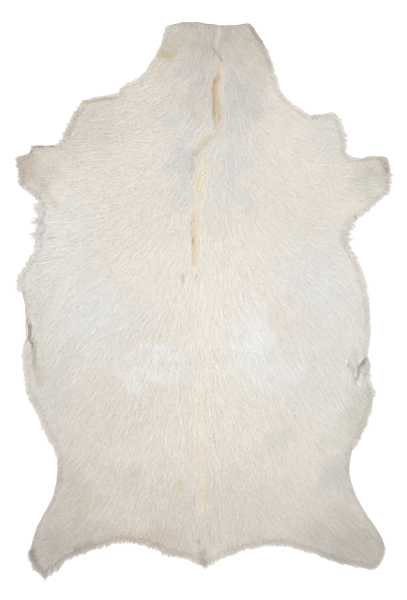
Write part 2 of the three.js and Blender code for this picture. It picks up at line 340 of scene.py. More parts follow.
UNDERCOAT_GRID = 0.0042
UNDERCOAT_DROP = 0.0003
WOOL_ROOTS = 0.0003
UNDERCOAT_RIM = 0.0011
UNDERCOAT_SLOPE = 0.004
UNDER_A_TUFT = 0.6
UNDER_A_CREASE = 0.2
# The undercoat's colour carries painted light: darkened all over as painted shade between the
# hairs, lighter towards the rim as painted light, and darker in the creases as painted shade.
WOOL_PAINTED_SHADE = 0.765
WOOL_RIM_LIGHT = 0.14
WOOL_CREASE_SHADE = 0.12
WOOL_WARMTH = (1, 1, 0.985)
COMBED_ACROSS = 700
COMBED_ALONG = 90
CHART_BLUR = 3
CHART_EASE = 40
LUMPS_KEPT = 0.2
WIDEST_WINDOW = 40


def chart_of_solid(solid):
    """The height of a solid's top at each knot of the chart, 0 off the solid.

    Each triangle is a plane over the knots near it. A knot takes the triangle's height where its
    three weights there are all above zero, and keeps the highest of all triangles.
    """
    mesh = solid.data
    mesh.calc_loop_triangles()
    corners = np.empty(len(mesh.loop_triangles) * 3, np.int32)
    mesh.loop_triangles.foreach_get("vertices", corners)
    points = np.empty(len(mesh.vertices) * 3, np.float32)
    mesh.vertices.foreach_get("co", points)
    a, b, c = np.moveaxis(points.reshape(-1, 3)[corners.reshape(-1, 3)].astype(float), 1, 0)
    ab, ac = b - a, c - a
    twice_area = ab[:, 0] * ac[:, 1] - ab[:, 1] * ac[:, 0]
    upward = twice_area > 1e-9
    a, b, c, twice_area = a[upward], b[upward], c[upward], twice_area[upward]
    lowest, highest = np.minimum(np.minimum(a, b), c), np.maximum(np.maximum(a, b), c)
    first = np.ceil((lowest[:, :2] - [chart_x[0], chart_y[0]]) / CHART_STEP).astype(int)
    reach_in_knots = int(np.ceil((highest - lowest)[:, :2].max() / CHART_STEP)) + 1
    window = np.arange(min(reach_in_knots, WIDEST_WINDOW))
    i = first[:, 0, None, None] + window[None, None, :]
    j = first[:, 1, None, None] + window[None, :, None]
    x, y = chart_x[0] + i * CHART_STEP, chart_y[0] + j * CHART_STEP

    def weight(p, q):
        """Twice the area from the side pq to each knot, over twice the triangle's."""
        side = (q[:, 0] - p[:, 0])[:, None, None] * (y - p[:, 1][:, None, None])
        return (side - (q[:, 1] - p[:, 1])[:, None, None] * (x - p[:, 0][:, None, None])) / (
            twice_area[:, None, None]
        )

    of_c, of_a, of_b = weight(a, b), weight(b, c), weight(c, a)
    height = sum(w * p[:, 2][:, None, None] for w, p in ((of_a, a), (of_b, b), (of_c, c)))
    hit = (of_a >= -1e-6) & (of_b >= -1e-6) & (of_c >= -1e-6)
    chart = np.zeros((len(chart_y), len(chart_x)))
    j, i = np.broadcast_arrays(j, i)
    np.maximum.at(chart, (j[hit], i[hit]), height[hit])
    return chart


def soften(chart, weights, passes):
    """A chart blurred over its neighbours, each counted by its weight."""
    for _ in range(passes):
        total, share = chart * weights, weights.astype(float)
        for axis in (0, 1):
            total = total + np.roll(total, 1, axis) + np.roll(total, -1, axis)
            share = share + np.roll(share, 1, axis) + np.roll(share, -1, axis)
        chart = np.where(share > 0, total / np.maximum(share, 1e-9), 0)
        weights = share > 0
    return chart


# The narrow creases and the tufts beside them: the two ends of each as across and along in halves
# of the hide, its half width in mm, and how far it rises in mm, below zero for a crease.
COAT_FOLDS = {
    "head of the crevice": (-0.918, -0.062, -0.903, -0.09, 1.8, -1.9),
    "crevice in the left flank": (-0.903, -0.09, -0.909, -0.13, 2.2, -2.2),
    "hook of the crevice": (-0.904, -0.131, -0.884, -0.143, 2, -1.9),
    "end of the hook": (-0.884, -0.143, -0.889, -0.165, 2, -1.8),
    "hollow under the hook": (-0.886, -0.15, -0.88, -0.24, 4, -0.9),
    "rolled tuft outside it": (-0.922, -0.066, -0.917, -0.12, 2.5, 0.7),
    "tuft under the hook": (-0.915, -0.15, -0.905, -0.2, 4, 0.5),
    "crease of the right flank": (0.868, -0.204, 0.832, -0.232, 2.4, -2.2),
    "lower half of the crease": (0.832, -0.232, 0.818, -0.285, 2.4, -1.5),
    "crease beside it": (0.768, -0.224, 0.795, -0.246, 2.2, -1.5),
    "end of the crease beside it": (0.795, -0.246, 0.808, -0.28, 2, -1.2),
    "ridge between the creases": (0.81, -0.17, 0.812, -0.24, 4, 0.6),
    "tuft under the creases": (0.86, -0.27, 0.87, -0.33, 7, 0.6),
}


def line_bell(points, x1, y1, x2, y2, wide):
    """A bell of each point's distance to a line, 1 on it and 0.37 at its half width in mm."""
    start, line = place(x1, y1), place(x2, y2) - place(x1, y1)
    t = np.clip(((points - start) @ line) / (line @ line), 0, 1)
    gap = np.hypot(*(points - start - t[:, None] * line).T) / (wide / 1000)
    return np.exp(-(gap**2))


def fold_rise(points):
    """How far the folds raise the coat at points, or lower it."""
    return sum(rise / 1000 * line_bell(points, *line) for *line, rise in COAT_FOLDS.values())


solid_top = chart_of_solid(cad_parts["goatskin"])
on_hide = (inside > 0) & (solid_top > 0)
coat_top = soften(solid_top, on_hide, CHART_BLUR)
eased_top = soften(coat_top, on_hide, CHART_EASE)
coat_top = LUMPS_KEPT * coat_top + (1 - LUMPS_KEPT) * eased_top
coat_top = coat_top + fold_rise(knots.reshape(-1, 2)).reshape(coat_top.shape)


def waves(points, length, seed):
    """Soft random hills from -1 to 1: six sines of unlike way and phase, about length apart."""
    draw = np.random.default_rng(seed)
    total = np.zeros(len(points))
    for _ in range(6):
        way = draw.uniform(0, 2 * math.pi)
        pitch = 2 * math.pi / (length * draw.uniform(0.7, 1.6))
        shift = draw.uniform(0, 2 * math.pi)
        total += np.sin(pitch * (points @ [math.cos(way), math.sin(way)]) + shift)
    return total / 3.2


# The body from the neck down, a row for each station along it: along in halves of the length, the
# line of the spine in halves of the width, how far the hair turns aside from it at most, in
# degrees, and the distance in metres within which it turns.
STATIONS = {
    "neck": (1, 0.05, 60, 0.05),
    "nape": (0.867, 0.053, 62, 0.05),
    "base of the neck": (0.723, 0.105, 80, 0.09),
    "withers": (0.58, 0.16, 85, 0.1),
    "shoulders": (0.436, 0.1, 110, 0.2),
    "behind the shoulders": (0.293, 0.053, 88, 0.17),
    "ribs": (0.149, 0.042, 90, 0.2),
    "middle": (0.005, 0.053, 46, 0.13),
    "belly": (-0.138, -0.01, 40, 0.1),
    "loin": (-0.282, -0.063, 36, 0.12),
    "hips": (-0.426, -0.07, 42, 0.15),
    "croup": (-0.569, -0.03, 40, 0.14),
    "rump": (-0.713, -0.06, 48, 0.16),
    "tail": (-0.856, -0.01, 50, 0.13),
}


def hair_way(points):
    """The way the hair lies, as unit arrows: straight back on the spine, turning aside from it.

    The turn is the station's most times the hyperbolic tangent of the distance from the spine in
    turning distances.
    """
    along, spine, most, distance = np.array(list(STATIONS.values())).T[:, ::-1]
    at = 2 * points[:, 1] / HIDE_LENGTH
    from_spine = points[:, 0] - np.interp(at, along, spine) * HIDE_WIDTH / 2
    aside = np.tanh(from_spine / np.interp(at, along, distance))
    turn = np.radians(np.interp(at, along, most)) * aside
    return np.stack([np.sin(turn), -np.cos(turn)], -1)


# The colours of the coat on a screen. Broad clouds first, each laid over the last: across and
# along in halves of the hide, its half width and half length in mm, its colour, and how strongly
# it covers.
COAT_COLOUR = (227, 221, 210)
COAT_CLOUDS = {
    "neck, dusky": (0.1, 0.95, 110, 52, (194, 187, 175), 0.95),
    "nape, cream": (-0.2, 0.7, 60, 40, (219, 212, 200), 0.6),
    "left shoulder": (-0.6, 0.62, 70, 50, (212, 204, 193), 0.85),
    "left shoulder blade": (-0.35, 0.48, 60, 60, (231, 222, 211), 0.85),
    "right shoulder": (0.45, 0.52, 80, 60, (230, 223, 212), 0.9),
    "right shoulder's tip": (0.66, 0.6, 30, 35, (220, 215, 207), 0.8),
    "ochre left of the neck": (-0.15, 0.93, 20, 16, (203, 192, 169), 0.6),
    "ochre right of the neck": (0.32, 0.86, 20, 45, (207, 198, 181), 0.6),
    "left side of the nape, peach": (-0.22, 0.82, 26, 14, (214, 203, 190), 0.5),
    "cool band left of the withers": (-0.1, 0.5, 22, 66, (211, 209, 206), 0.85),
    "cool band left of the nape": (-0.03, 0.78, 34, 55, (201, 195, 187), 0.8),
    "cool band right of the nape": (0.2, 0.72, 38, 64, (201, 196, 189), 0.8),
    "cool band right of the withers": (0.16, 0.48, 28, 64, (214, 213, 209), 0.8),
    "left foreleg": (-0.93, 0.48, 42, 42, (194, 184, 172), 0.95),
    "right foreleg": (0.95, 0.47, 50, 45, (205, 200, 189), 0.9),
    "middle of the back": (0.05, 0.02, 95, 110, (235, 228, 216), 0.9),
    "belly, cream": (0.12, -0.12, 60, 130, (236, 230, 218), 0.8),
    "left ribs, peach": (-0.27, 0.12, 60, 66, (236, 226, 214), 0.85),
    "left flank, cool": (-0.78, 0.17, 60, 110, (229, 225, 219), 0.85),
    "left belly, cool white": (-0.52, -0.05, 76, 54, (226, 225, 222), 0.85),
    # Painted shade: two darker clouds along the left rim, where the hair curves down towards the
    # floor.
    "painted shade on the left flank's rim": (-0.87, 0.0, 24, 72, (209, 204, 197), 0.6),
    "painted shade on the rim under the left foreleg": (-0.87, 0.37, 14, 22, (203, 199, 191), 0.7),
    "right ribs, peach": (0.33, 0.12, 56, 70, (234, 226, 215), 0.7),
    "left back, peach": (-0.36, 0.05, 34, 50, (234, 226, 213), 0.6),
    "left belly patch, peach": (-0.32, -0.16, 30, 26, (225, 216, 203), 0.6),
    "white of the left belly": (-0.42, -0.2, 40, 13, (230, 228, 223), 0.65),
    "patch under it, peach": (-0.51, -0.285, 20, 20, (222, 213, 201), 0.6),
    "white left of the belly": (-0.28, -0.268, 52, 16, (236, 234, 230), 0.85),
    "white bar by the spine": (-0.2, -0.185, 44, 13, (236, 234, 230), 0.8),
    "white right of the belly": (0.27, -0.165, 34, 64, (236, 235, 232), 0.9),
    "white tail of that": (0.43, -0.255, 55, 34, (231, 230, 226), 0.8),
    "right flank, cool": (0.62, 0.05, 70, 76, (225, 224, 220), 0.85),
    "rim of the right flank": (0.85, -0.06, 16, 46, (215, 214, 210), 0.6),
    "right belly, cream": (0.46, -0.05, 26, 26, (231, 221, 211), 0.8),
    "right lower flank, grey": (0.68, -0.3, 60, 60, (223, 219, 213), 0.75),
    "left lower flank, grey": (-0.78, -0.35, 45, 90, (213, 208, 202), 0.85),
    "left loin, peach": (-0.5, -0.45, 80, 60, (220, 211, 199), 0.85),
    "loin": (0, -0.55, 120, 90, (231, 223, 211), 0.75),
    "left of the loin": (-0.42, -0.64, 28, 28, (208, 200, 189), 0.6),
    "right of the loin": (0.41, -0.5, 28, 28, (212, 208, 199), 0.5),
    "rump": (0, -0.76, 230, 80, (214, 206, 194), 0.9),
    "rump's edge, left": (-0.3, -0.9, 90, 40, (196, 187, 175), 0.8),
    "rump's edge, right": (0.3, -0.88, 110, 34, (207, 200, 190), 0.7),
    "pale tuft at the right flank": (0.86, -0.305, 12, 18, (216, 217, 213), 0.7),
    "right lower flank, shaded": (0.82, -0.42, 20, 44, (202, 196, 185), 0.85),
    "left hind leg": (-0.78, -0.9, 75, 75, (188, 181, 171), 0.97),
    "left thigh": (-0.62, -0.79, 24, 26, (190, 182, 170), 0.6),
    "left hind leg's top": (-0.7, -0.68, 44, 70, (203, 196, 185), 0.9),
    "right hind leg": (0.8, -0.9, 90, 74, (187, 181, 170), 0.95),
    "right hind leg's top": (0.74, -0.62, 32, 60, (202, 198, 189), 0.85),
}
# Then the marks, laid on in the same way: lines from one place to another, each with a half width
# in mm. The marks named shade or shadow are painted shade, in creases, hollows and under rims, and
# the dark cut lines are the cut edge's own colour with painted shade.
COAT_MARKS = {
    "smudge on the neck": (-0.185, 0.885, -0.17, 0.88, 9, (200, 176, 140), 0.75),
    "paler head of the smudge": (-0.165, 0.93, -0.16, 0.9, 8, (206, 192, 166), 0.5),
    "brown spot at the neck's corner": (0.24, 0.955, 0.25, 0.945, 7, (200, 182, 154), 0.6),
    # The dark line along the neck's cut edge: the cut edge's own colour with painted shade.
    "dark cut edge and painted shade right of the neck": (0.253, 0.99, 0.325, 0.915, 1.3, (138, 131, 118), 0.6),
    "pale line on the neck": (0.082, 0.978, 0.079, 0.92, 2.2, (218, 212, 203), 0.8),
    "dark line on the neck": (0.055, 0.914, 0.105, 0.86, 1.7, (174, 158, 132), 0.85),
    "head of the dorsal stripe": (0.095, 0.84, 0.08, 0.795, 4.5, (218, 196, 160), 0.6),
    "pale side of the stripe": (0.104, 0.82, 0.1, 0.65, 4, (229, 221, 205), 0.6),
    "upper stripe on the nape": (0.081, 0.8, 0.073, 0.75, 4.5, (208, 184, 146), 0.85),
    "lower stripe on the nape": (0.081, 0.75, 0.086, 0.655, 4, (210, 186, 150), 0.85),
    "dark side of the stripe": (0.066, 0.8, 0.056, 0.76, 2.2, (180, 150, 112), 0.85),
    "dark side below it": (0.062, 0.755, 0.067, 0.62, 2, (180, 156, 120), 0.8),
    "pink break of the stripe": (0.089, 0.637, 0.085, 0.594, 8, (224, 209, 192), 0.6),
    "brush stroke over the withers": (0.045, 0.59, -0.03, 0.53, 6, (210, 195, 163), 0.7),
    "brown tips left of the stroke": (-0.045, 0.533, -0.058, 0.47, 5, (201, 190, 170), 0.65),
    "cream stripe on the shoulders": (0.018, 0.5, -0.003, 0.436, 7, (235, 224, 202), 0.85),
    "cream stripe behind them": (-0.003, 0.436, -0.03, 0.325, 8.5, (233, 222, 200), 0.9),
    "ochre streak in the cream": (-0.012, 0.433, -0.019, 0.386, 2.5, (227, 212, 184), 0.6),
    "ochre stripe on the back": (-0.035, 0.318, -0.032, 0.192, 5, (233, 218, 190), 0.85),
    "brown knot in the stripe": (-0.047, 0.296, -0.042, 0.285, 2.2, (204, 184, 152), 0.75),
    "brown streak beside it": (-0.06, 0.28, -0.05, 0.221, 1.8, (196, 178, 140), 0.85),
    "dark knot in the stripe": (-0.05, 0.221, -0.045, 0.199, 2, (180, 162, 130), 0.85),
    "orange end of the stripe": (-0.042, 0.2, -0.04, 0.131, 3, (227, 203, 160), 0.9),
    "grey fleck left of the spine": (-0.103, 0.099, -0.099, 0.07, 1.6, (182, 177, 166), 0.85),
    "fleck on the spine": (-0.032, 0.094, -0.032, 0.084, 1.4, (194, 182, 166), 0.8),
    "cream line of the back": (-0.011, 0.09, -0.014, -0.174, 7, (239, 230, 214), 0.6),
    "cream line of the loin": (-0.014, -0.174, -0.005, -0.5, 8, (237, 227, 208), 0.5),
    "yellow line of the rump": (-0.005, -0.5, 0.005, -0.75, 8, (234, 223, 202), 0.6),
    "yellow mark left of the loin": (-0.13, -0.64, -0.12, -0.67, 7, (212, 198, 170), 0.45),
    "yellow mark on the rump": (0.01, -0.68, 0.02, -0.71, 8, (213, 198, 168), 0.45),
    "yellow mark right of it": (0.13, -0.64, 0.13, -0.66, 7, (214, 202, 178), 0.4),
    "yellow mark on the left thigh": (-0.62, -0.71, -0.56, -0.72, 10, (206, 195, 170), 0.45),
    "dark tail": (0.0, -0.9, 0.014, -0.945, 7, (176, 165, 144), 0.65),
    "fleck over the tail": (-0.016, -0.855, -0.012, -0.868, 1.8, (160, 146, 124), 0.7),
    "rust along the left rump's edge": (-0.5, -0.845, -0.15, -0.85, 11, (206, 191, 168), 0.5),
    "dark corner of the left foot": (-0.905, -0.89, -0.885, -0.94, 7, (152, 141, 122), 0.6),
    "dark end of the left foot": (-0.86, -0.965, -0.82, -0.985, 6, (160, 150, 132), 0.5),
    "brown under the left thigh": (-0.66, -0.89, -0.58, -0.868, 8, (168, 156, 136), 0.5),
    # The dark line along the left foreleg's cut: the cut edge's own colour with painted shade.
    "dark cut edge and painted shade at the left foreleg": (-0.9, 0.556, -0.78, 0.556, 1.2, (140, 130, 116), 0.8),
    "brown corner of the left foreleg": (-0.955, 0.53, -0.9, 0.54, 6, (190, 176, 156), 0.6),
    "rust end of the left foreleg": (-0.95, 0.5, -0.9, 0.46, 9, (206, 188, 170), 0.6),
    "olive rim of the left shoulder": (-0.63, 0.715, -0.46, 0.73, 4, (196, 186, 162), 0.6),
    "brown rim of the left shoulder": (-0.72, 0.6, -0.65, 0.68, 6, (198, 190, 176), 0.5),
    "brown end of the right foreleg": (0.95, 0.51, 0.97, 0.48, 7, (194, 182, 158), 0.6),
    "dark knot at its corner": (0.975, 0.475, 0.985, 0.465, 3.5, (166, 152, 128), 0.6),
    "olive top of the right foreleg": (0.85, 0.51, 0.95, 0.515, 5, (206, 197, 175), 0.5),
    "dark fleck on the right shoulder": (0.588, 0.672, 0.612, 0.675, 3, (70, 64, 56), 1),
    "brown in the left pocket": (-0.86, -0.265, -0.85, -0.29, 8, (203, 190, 168), 0.6),
    # Painted shadow: two dark lines along the rolled edge of the left flank, where the curled rim
    # shades the gap below it.
    "painted shadow under the left flank's rolled rim": (-0.942, 0.034, -0.937, -0.009, 1.6, (182, 174, 163), 0.75),
    "painted shadow under the rolled rim below it": (-0.937, -0.009, -0.921, -0.07, 1.6, (178, 171, 162), 0.75),
    "rolled tuft": (-0.92, -0.07, -0.914, -0.12, 1.8, (206, 204, 198), 0.6),
    "shade at the crevice's head": (-0.915, -0.066, -0.903, -0.09, 2, (186, 180, 168), 0.8),
    "shade in the crevice": (-0.903, -0.09, -0.909, -0.13, 2.4, (168, 162, 151), 0.9),
    "shade in its hook": (-0.904, -0.131, -0.884, -0.143, 2, (166, 160, 148), 0.9),
    "shade under the hook": (-0.887, -0.146, -0.88, -0.235, 4.5, (190, 185, 175), 0.75),
    "pale tuft under the hook": (-0.914, -0.15, -0.903, -0.19, 2.5, (211, 210, 205), 0.5),
    "cool end of the hollow": (-0.884, -0.217, -0.879, -0.267, 4, (202, 204, 198), 0.5),
    "fleck beside the hollow": (-0.826, -0.189, -0.832, -0.21, 1.6, (190, 182, 170), 0.6),
    "yellow strip at the crevice": (-0.863, -0.12, -0.853, -0.228, 7, (216, 210, 194), 0.6),
    "olive streak at the left armpit": (-0.87, 0.45, -0.768, 0.345, 6, (203, 195, 177), 0.5),
    "dark hair at the left armpit": (-0.808, 0.221, -0.768, 0.23, 1.1, (168, 158, 142), 0.7),
    "dark hair over it": (-0.808, 0.236, -0.784, 0.242, 1, (178, 170, 156), 0.6),
    "shade of the right armpit": (0.79, 0.26, 0.76, 0.2, 7, (208, 205, 196), 0.35),
    "dark hair at the right armpit": (0.8, 0.307, 0.821, 0.289, 1.1, (150, 145, 132), 0.8),
    "grey hair outside the crease": (0.866, -0.222, 0.872, -0.262, 3.2, (193, 187, 176), 0.7),
    "shade in the right crease": (0.868, -0.204, 0.832, -0.232, 2.2, (160, 152, 138), 0.95),
    "shade in its lower half": (0.832, -0.232, 0.818, -0.275, 2.2, (172, 166, 154), 0.9),
    "shade in the crease beside it": (0.768, -0.224, 0.795, -0.246, 1.9, (174, 167, 152), 0.85),
    "shade at its end": (0.795, -0.246, 0.808, -0.28, 2, (186, 180, 166), 0.75),
    "olive ridge between them": (0.8, -0.19, 0.808, -0.24, 5, (214, 209, 195), 0.6),
    "yellow rim under the tuft": (0.9, -0.34, 0.842, -0.443, 6, (208, 203, 188), 0.7),
}
CLOUD_FALL = 1.2
CLOUD_WARP = 0.012
MARK_WARP = 0.15
WARP_LENGTH = 0.05
MOTTLE = 0.009


def coat_colours(points):
    """The coat's colour at points, as light: the clouds and marks laid over its ground colour.

    A cloud fades as a bell of its distance, a mark as a bell of the distance to its line. The
    places are first shifted by soft hills, so the borders wander, a mark's less than a cloud's.
    """
    warp = np.stack([waves(points, WARP_LENGTH, 5), waves(points, WARP_LENGTH, 6)], -1)
    warped = points + CLOUD_WARP * warp
    colour = np.tile(srgb(*COAT_COLOUR), (len(points), 1))
    for across, along, wide, long, tone, strength in COAT_CLOUDS.values():
        away = (warped - place(across, along)) / [wide / 1000, long / 1000]
        cover = strength * np.exp(-((away**2).sum(1) ** CLOUD_FALL))
        colour += cover[:, None] * (srgb(*tone) - colour)
    warped = points + MARK_WARP * CLOUD_WARP * warp
    for *line, tone, strength in COAT_MARKS.values():
        colour += (strength * line_bell(warped, *line))[:, None] * (srgb(*tone) - colour)
    warmth = MOTTLE * waves(points, 0.025, 51)[:, None] * [1, 0.1, -1.3]
    return colour * (1 + warmth + MOTTLE * waves(points, 0.018, 52)[:, None])


def store(piece, name, kind, values):
    """Keeps an array on the piece's points, for its material to read."""
    attribute = piece.data.attributes.new(name, kind, "POINT")
    field = "color" if kind == "FLOAT_COLOR" else "vector"
    attribute.data.foreach_set(field, np.asarray(values, np.float32).ravel())


def wool_material():
    """Undercoat: the coat's colour, with painted shade in the troughs between fine combed streaks.
    """
    material, shader = new_material("undercoat_wool")
    tint = add_node(material, "Attribute", {"attribute_name": "tint"})
    comb = add_node(material, "Attribute", {"attribute_name": "comb"}).outputs["Vector"]
    streaks = add_node(material, "TexNoise", Vector=comb, Scale=1.0, Detail=6.0)
    tufts = add_node(material, "TexNoise", Vector=comb, Scale=0.22, Detail=3.0)
    both = add_node(
        material, "Math", {"operation": "MULTIPLY_ADD"}, _0=tufts, _1=0.6, _2=streaks
    )
    shade = add_node(material, "MapRange", Value=both, From_Min=0.5, From_Max=1.1, To_Min=0.92)
    colour = add_node(material, "VectorMath", {"operation": "SCALE"}, _0=tint, Scale=shade)
    rough = add_node(material, "MapRange", Value=streaks, To_Min=0.7, To_Max=1.0)
    finish_shader(material, shader, colour, rough, both, strength=0.4, depth=0.0004)
    return material


wool_net = hide_net(UNDERCOAT_GRID)
wool_flat = wool_net[0]
wool_depth = np.clip(read_chart(inside, wool_flat) / UNDERCOAT_SLOPE, 0, 1)
wool_low = SKIN_THICKNESS + UNDERCOAT_RIM
wool_folds = fold_rise(wool_flat)
wool_sinks = np.maximum(UNDER_A_TUFT * wool_folds, -UNDER_A_CREASE * wool_folds)
wool_rise = read_chart(coat_top, wool_flat) - UNDERCOAT_DROP - wool_sinks
wool_top = wool_low + wool_depth * np.maximum(wool_rise - wool_low, 0)
wool_bottom = np.full(len(wool_flat), SKIN_THICKNESS - WOOL_ROOTS)
undercoat = closed_sheet("undercoat", wool_net, wool_top, wool_bottom)
wool_way = hair_way(wool_flat)
comb_across = wool_flat[:, 0] * -wool_way[:, 1] + wool_flat[:, 1] * wool_way[:, 0]
comb_along = wool_flat[:, 0] * wool_way[:, 0] + wool_flat[:, 1] * wool_way[:, 1]
comb = np.c_[comb_across * COMBED_ACROSS, comb_along * COMBED_ALONG, 0 * comb_along]
store(undercoat, "comb", "FLOAT_VECTOR", np.tile(comb, (2, 1)))
# Painted light in the undercoat's tint: a darker tone all over as painted shade between the hairs,
# lighter near the rim as painted light, darker in the creases as painted shade.
in_crease = np.clip(-wool_folds / 0.001, 0, 1)
wool_shade = WOOL_PAINTED_SHADE + WOOL_RIM_LIGHT * (1 - wool_depth) - WOOL_CREASE_SHADE * in_crease
wool_tint = coat_colours(wool_flat) * wool_shade[:, None] * WOOL_WARMTH
wool_tint = np.c_[wool_tint, np.ones(len(wool_flat))]
store(undercoat, "tint", "FLOAT_COLOR", np.tile(wool_tint, (2, 1)))
undercoat.data.materials.append(wool_material())
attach(undercoat, "root")
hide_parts("goatskin")


# The coat
# The goat's own hair, short and glossy, combed back and outwards from the spine. It grows all over
# the skin in small tufts, and is built in layers, the lower ones coarser and a little duller.

HAIRS_IN_A_LAYER = 27000
COAT_LAYERS = {
    # layer: shortest and longest hair, half width, how far tips rise over the coat, and tone
    "coat_deep": (0.01, 0.018, 0.00022, -0.0001, 0.93),
    "coat_middle": (0.01, 0.02, 0.0002, -0.00007, 0.935),
    "coat_upper": (0.009, 0.018, 0.00018, -0.00004, 0.935),
    "coat_outer": (0.007, 0.015, 0.00016, 0, 0.935),
}
LEAST_COAT = 0.0024
ON_THE_FLOOR = 0.0006
EDGE_FALL = 0.007
ROOT_SINKS = 0.0003
KNEE_SINKS = 0.00012
TIP_SINKS = 0.00006
LOOSE_LIFT = 0.00003
TUFT_SIZE = 0.009
TUFT_PULL = 0.16
OWN_COLOUR = 0.45
CREASE_BARE = 0.001
CREASE_DEEP = -1.8
CREASE_PITCH = 0.00025
DEEP_CREASES = [fold for fold in COAT_FOLDS.values() if fold[-1] <= CREASE_DEEP]


def scatter(count, draw):
    """That many points strewn over the hide, one at a random spot in each square of a net."""
    area = (inside > 0).sum() * CHART_STEP**2
    step = math.sqrt(area / count)
    x = np.arange(-HIDE_WIDTH / 2, HIDE_WIDTH / 2, step)
    y = np.arange(-HIDE_LENGTH / 2, HIDE_LENGTH / 2, step)
    points = np.stack(np.meshgrid(x, y), -1).reshape(-1, 2)
    points = points + draw.uniform(0, step, points.shape)
    return points[read_chart(inside, points) > 0]


def lie_height(points):
    """The height at which hair lies: the coat's top, falling to the floor past the hide's edge."""
    past = np.maximum(-read_chart(inside, points), 0)
    top = np.maximum(read_chart(coat_top, points), LEAST_COAT)
    falls = (top - ON_THE_FLOOR) * np.clip(past / EDGE_FALL, 0, 1)
    return np.maximum(top - falls, ON_THE_FLOOR)


def hair_spindles(name, spines, wide, tall, colour, material):
    """Hairs as closed three-sided spindles in one mesh, with the maps that their material reads.

    spines holds each hair's points from root to tip. The root and the tip stay points, and at
    every knee between them a triangle stands across the hair: left, right and top. The colours are
    kept on the points, and so is fibre: the place across and along the hair, and its own number.
    In the map OFBake each hair has a cell of its own.
    """
    hairs, steps = spines.shape[:2]
    ahead = np.gradient(spines, axis=1)
    ahead /= np.linalg.norm(ahead, axis=2, keepdims=True)
    right = np.cross(ahead, [0, 0, 1])
    right /= np.linalg.norm(right, axis=2, keepdims=True)
    up = np.cross(right, ahead)
    knees = spines[:, 1:-1]
    wide, tall = wide[:, :, None], tall[:, :, None]
    left_corner = knees - right[:, 1:-1] * wide
    right_corner = knees + right[:, 1:-1] * wide
    top_corner = knees + up[:, 1:-1] * tall
    rings = np.stack([left_corner, right_corner, top_corner], 2).reshape(hairs, -1, 3)
    points = np.concatenate([spines[:, :1], rings, spines[:, -1:]], 1)
    each = points.shape[1]
    faces = [(0, 1, 2), (0, 2, 3), (0, 3, 1)]
    for ring in range(1, each - 4, 3):
        for a, b in ((ring, ring + 1), (ring + 1, ring + 2), (ring + 2, ring)):
            faces += [(a, a + 3, b + 3), (a, b + 3, b)]
    last = each - 1
    faces += [(last, last - 2, last - 3), (last, last - 1, last - 2), (last, last - 3, last - 1)]
    faces = np.array(faces)[None] + each * np.arange(hairs)[:, None, None]
    piece = build_mesh(name, points.reshape(-1, 3), faces.reshape(-1, 3))
    across = np.array([0.5] + [0, 1, 0.5] * (steps - 2) + [0.5])
    along = np.repeat(np.linspace(0, 1, steps), [1] + [3] * (steps - 2) + [1])
    number = np.random.default_rng(len(name)).uniform(0, 1, hairs)
    fibre = np.empty((hairs, each, 3))
    fibre[..., 0], fibre[..., 1], fibre[..., 2] = across, along, number[:, None]
    store(piece, "fibre", "FLOAT_VECTOR", fibre)
    tint = np.dstack([np.clip(colour, 0, 1), np.ones(colour.shape[:2])])
    store(piece, "tint", "FLOAT_COLOR", tint)
    columns = math.ceil(math.sqrt(hairs * 3))
    rows = math.ceil(hairs / columns)
    cell = np.stack([np.arange(hairs) % columns, np.arange(hairs) // columns], -1)
    spot = np.stack([0.1 + 0.8 * across, 0.04 + 0.92 * along], -1)
    places = (cell[:, None] + spot[None]) / [columns, rows]
    atlas = piece.data.uv_layers.new(name="OFBake")
    atlas.uv.foreach_set("vector", places.reshape(-1, 2)[faces.ravel()].astype(np.float32).ravel())
    piece.data.materials.append(material)
    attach(piece, "root")
    return piece


def hair_material():
    """Goat hair: its own tint, darker at the root as painted shade under the other hairs, in fine
    lengthwise fibres, softly glossy.
    """
    material, shader = new_material("goat_hair")
    tint = add_node(material, "Attribute", {"attribute_name": "tint"})
    fibre = add_node(material, "Attribute", {"attribute_name": "fibre"}).outputs["Vector"]
    split = add_node(material, "SeparateXYZ", Vector=fibre)
    stretched = add_node(
        material, "VectorMath", {"operation": "MULTIPLY"}, _0=fibre, _1=(9.0, 2.0, 900.0)
    )
    strands = add_node(material, "TexNoise", Vector=stretched, Scale=1.0, Detail=2.0)
    # Painted shade: the hair's colour darkens towards its root, where it lies under other hairs.
    root_shade = add_node(
        material, "MapRange", {"interpolation_type": "SMOOTHSTEP"},
        Value=split.outputs["Y"], From_Max=0.6, To_Min=0.96, To_Max=1.0,
    )
    streak = add_node(material, "MapRange", Value=strands, To_Min=0.98, To_Max=1.02)
    shade = add_node(material, "Math", {"operation": "MULTIPLY"}, _0=root_shade, _1=streak)
    colour = add_node(material, "VectorMath", {"operation": "SCALE"}, _0=tint, Scale=shade)
    rough = add_node(material, "MapRange", Value=strands, To_Min=0.55, To_Max=0.85)
    finish_shader(material, shader, colour, rough, strands, strength=0.5, depth=0.00002)
    shader.inputs["Specular IOR Level"].default_value = 0.14
    shader.inputs["Sheen Weight"].default_value = 0.05
    return material


def unit(arrows):
    """Arrows made one long: each over the root of the sum of its squares."""
    return arrows / np.linalg.norm(arrows, axis=1, keepdims=True)


def turned(arrows, angle):
    """Arrows in the plane turned to the left by an angle each, in radians."""
    c, s = np.cos(angle), np.sin(angle)
    return np.stack([arrows[:, 0] * c - arrows[:, 1] * s, arrows[:, 0] * s + arrows[:, 1] * c], -1)


